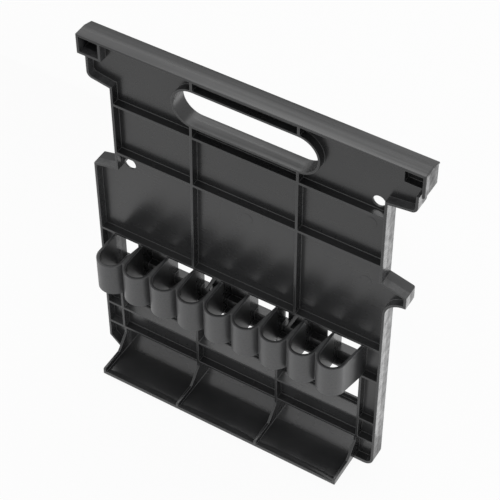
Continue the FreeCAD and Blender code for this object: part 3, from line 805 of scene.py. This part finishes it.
class BuildTray(PanelStep, bpy.types.Operator):
    """Build the tray floor and its dividers."""

    bl_idname = "toolpanel.tray"
    bl_label = "Tray"
    piece = "tray_moulding"
    members = ("tray_floor", "tray_divider_1", "tray_divider_2", "tray_divider_3",
               "tray_divider_4")

    def execute(self, context):
        """Take the tray out of the moulding and raise its front lip."""
        setup = context.scene.panel_moulding
        shell = take_shell(self.members)
        floor = piece_box("tray_floor")
        dividers = [sum(piece_box(name), Vector()).x / 2 for name in self.members[1:]]
        self.raise_lip(shell, setup, floor, dividers)
        finish_piece(self.piece, shell, self.members)
        return {"FINISHED"}

    def raise_lip(self, shell, setup, floor, dividers):
        """Cut the floor finely along its front edge and lift it in each bay."""
        front, top = floor[0].y, floor[1].z
        for row in range(1, lip_rows):
            back = front + setup.lip_reach * row / lip_rows
            self.cut(shell, (0.0, back, 0.0), (0.0, 1.0, 0.0))
        for column in range(1, lip_columns):
            across = floor[0].x + (floor[1].x - floor[0].x) * column / lip_columns
            self.cut(shell, (across, 0.0, 0.0), (1.0, 0.0, 0.0))
        lowest = top - setup.edge_radius * lip_band_below
        for corner in shell.verts:
            back = corner.co.y - front
            if lowest <= corner.co.z <= top + lip_band_above and back < setup.lip_reach:
                fullness = math.sin(math.pi * self.bay_share(corner.co.x, dividers))
                fullness = lip_least + (1.0 - lip_least) * fullness ** lip_fullness
                rise = max(0.0, 1.0 - back / (setup.lip_reach * fullness))
                corner.co.z += setup.lip_height * rise * rise * (3.0 - 2.0 * rise)

    def bay_share(self, place, dividers):
        """Tell how far across its bay a place lies, from nought to one."""
        after = [middle for middle in dividers if middle > place]
        before = [middle for middle in dividers if middle <= place]
        if after and before:
            return (place - before[-1]) / (after[0] - before[-1])
        return 0.0

    def cut(self, shell, place, normal):
        """Cut every face along one plane."""
        geometry = [*shell.verts, *shell.edges, *shell.faces]
        bmesh.ops.bisect_plane(shell, geom=geometry, dist=lip_gap, plane_co=place,
                               plane_no=normal)


class BuildMarks(PanelStep, bpy.types.Operator):
    """Build the faint round ejector marks on the plates."""

    bl_idname = "toolpanel.marks"
    bl_label = "Ejector Marks"
    piece = "ejector_marks"

    def execute(self, context):
        """Set one low disc on the plate at each mark."""
        setup = context.scene.panel_moulding
        plate = piece_box("body_plate")[0].y
        shell = bmesh.new()
        turn = Matrix.Rotation(math.radians(90), 4, "X")
        for across, up in pin_places:
            place = Matrix.Translation((across, plate - setup.pin_height / 2, up)) @ turn
            bmesh.ops.create_cone(shell, cap_ends=True, segments=pin_sides,
                                  radius1=setup.pin_radius,
                                  radius2=setup.pin_radius - setup.pin_height,
                                  depth=setup.pin_height, matrix=place)
        for face in shell.faces:
            face.smooth = True
        finish_piece(self.piece, shell, ())
        return {"FINISHED"}


class BuildStage(bpy.types.Operator):
    """Build the floor, the lamps, the world and the camera."""

    bl_idname = "toolpanel.stage"
    bl_label = "Stage"
    bl_options = {"REGISTER", "UNDO"}

    def execute(self, context):
        """Make every part of the stage."""
        setup = context.scene.panel_studio
        self.floor(setup)
        self.card(setup)
        self.lamp("top_lamp", setup.top_lamp, setup.top_lamp_size, setup.top_lamp_place,
                  setup.top_lamp_aim)
        above = Vector(setup.floor_lamp_place) + Vector((0.0, 0.0, 1.0))
        self.lamp("floor_lamp", setup.floor_lamp, setup.floor_lamp_size,
                  setup.floor_lamp_place, above)
        self.world(setup)
        self.camera(setup)
        return {"FINISHED"}

    def floor(self, setup):
        """Lay a wide pale floor under the foot, white to rays that see it."""
        shell = bmesh.new()
        bmesh.ops.create_grid(shell, x_segments=1, y_segments=1, size=setup.floor_size)
        mesh = bpy.data.meshes.new("floor")
        shell.to_mesh(mesh)
        shell.free()
        floor = bpy.data.objects.new("floor", mesh)
        bpy.context.scene.collection.objects.link(floor)
        material, make = new_material("pale_floor")
        pale = make.node("ShaderNodeBsdfDiffuse", Color=(*setup.floor_colour, 1.0))
        white = make.node("ShaderNodeEmission", Color=(1.0, 1.0, 1.0, 1.0), Strength=1.0)
        shown = make.node("ShaderNodeMixShader", _0=make.seen_rays() * setup.floor_white,
                          _1=pale, _2=white)
        make.node("ShaderNodeOutputMaterial", Surface=shown)
        mesh.materials.append(material)

    def card(self, setup):
        """Stand a grey card behind that keeps glare off the tray and the lower bars."""
        shell = bmesh.new()
        width, height = setup.card_size
        left, back = setup.card_place
        corners = ((left, 0.0), (left + width, 0.0), (left + width, height), (left, height))
        shell.faces.new([shell.verts.new((across, back, up)) for across, up in corners])
        mesh = bpy.data.meshes.new("grey_card")
        shell.to_mesh(mesh)
        shell.free()
        card = bpy.data.objects.new("grey_card", mesh)
        card.visible_camera = False
        bpy.context.scene.collection.objects.link(card)
        material, make = new_material("grey_card")
        grey = make.node("ShaderNodeBsdfDiffuse", Color=(*setup.card_colour, 1.0))
        make.node("ShaderNodeOutputMaterial", Surface=grey)
        mesh.materials.append(material)

    def lamp(self, name, power, size, place, aim):
        """Set one rectangular lamp and turn it to its aim."""
        lamp = bpy.data.lights.new(name, "AREA")
        lamp.shape = "RECTANGLE"
        lamp.size, lamp.size_y = size
        lamp.energy = power
        holder = bpy.data.objects.new(name, lamp)
        holder.location = place
        way = Vector(aim) - Vector(place)
        holder.rotation_euler = way.to_track_quat("-Z", "Y").to_euler()
        holder.visible_camera = False
        bpy.context.scene.collection.objects.link(holder)

    def world(self, setup):
        """Fill the room with even light, white to the camera and in reflections."""
        world = bpy.data.worlds.new("studio")
        world.use_nodes = True
        bpy.context.scene.world = world
        make = Nodes(world.node_tree)
        strength = make.seen_rays() * (1.0 - setup.fill) + setup.fill
        back = make.node("ShaderNodeBackground", Color=(1.0, 1.0, 1.0, 1.0), Strength=strength)
        make.node("ShaderNodeOutputWorld", Surface=back)

    def camera(self, setup):
        """Stand the camera where the picture was taken from."""
        lens = bpy.data.cameras.new("camera")
        lens.sensor_width = sensor_width
        lens.lens = setup.lens
        lens.clip_start = clip_start
        lens.clip_end = clip_end
        camera = bpy.data.objects.new("camera", lens)
        camera.location = setup.camera_place
        camera.rotation_euler = setup.camera_turn
        bpy.context.scene.collection.objects.link(camera)
        bpy.context.scene.camera = camera
        bpy.context.scene.view_settings.view_transform = "Standard"


steps = (BuildRail, BuildNeck, BuildBody, BuildFrame, BuildLoops, BuildWindowBacks, BuildTray,
         BuildMarks, BuildStage)


class ToolPanelSidebar(bpy.types.Panel):
    """Lists the sizes, the finish, the studio and the building steps."""

    bl_idname = "VIEW3D_PT_tool_panel"
    bl_label = "Tool Holder Panel"
    bl_space_type = "VIEW_3D"
    bl_region_type = "UI"
    bl_category = "Tool Panel"

    def draw(self, context):
        """Draw the settings and one button for each step."""
        for group in ("panel_moulding", "panel_plastic", "panel_studio"):
            settings = getattr(context.scene, group)
            box = self.layout.box()
            for name in settings.bl_rna.properties.keys():
                if name not in {"rna_type", "name"}:
                    box.prop(settings, name)
        for step in steps:
            self.layout.operator(step.bl_idname)


classes = (Moulding, PlasticFinish, Studio, *steps, ToolPanelSidebar)


def register():
    """Register the classes and hang their settings on the scene."""
    for item in classes:
        bpy.utils.register_class(item)
    bpy.types.Scene.panel_moulding = PointerProperty(type=Moulding)
    bpy.types.Scene.panel_plastic = PointerProperty(type=PlasticFinish)
    bpy.types.Scene.panel_studio = PointerProperty(type=Studio)


def unregister():
    """Take the settings and classes away again."""
    del bpy.types.Scene.panel_moulding
    del bpy.types.Scene.panel_plastic
    del bpy.types.Scene.panel_studio
    for item in reversed(classes):
        bpy.utils.unregister_class(item)


def main():
    """Build every piece in order."""
    register()
    for step in steps:
        group, name = step.bl_idname.split(".")
        getattr(getattr(bpy.ops, group), name)()


if __name__ == "__main__":
    main()
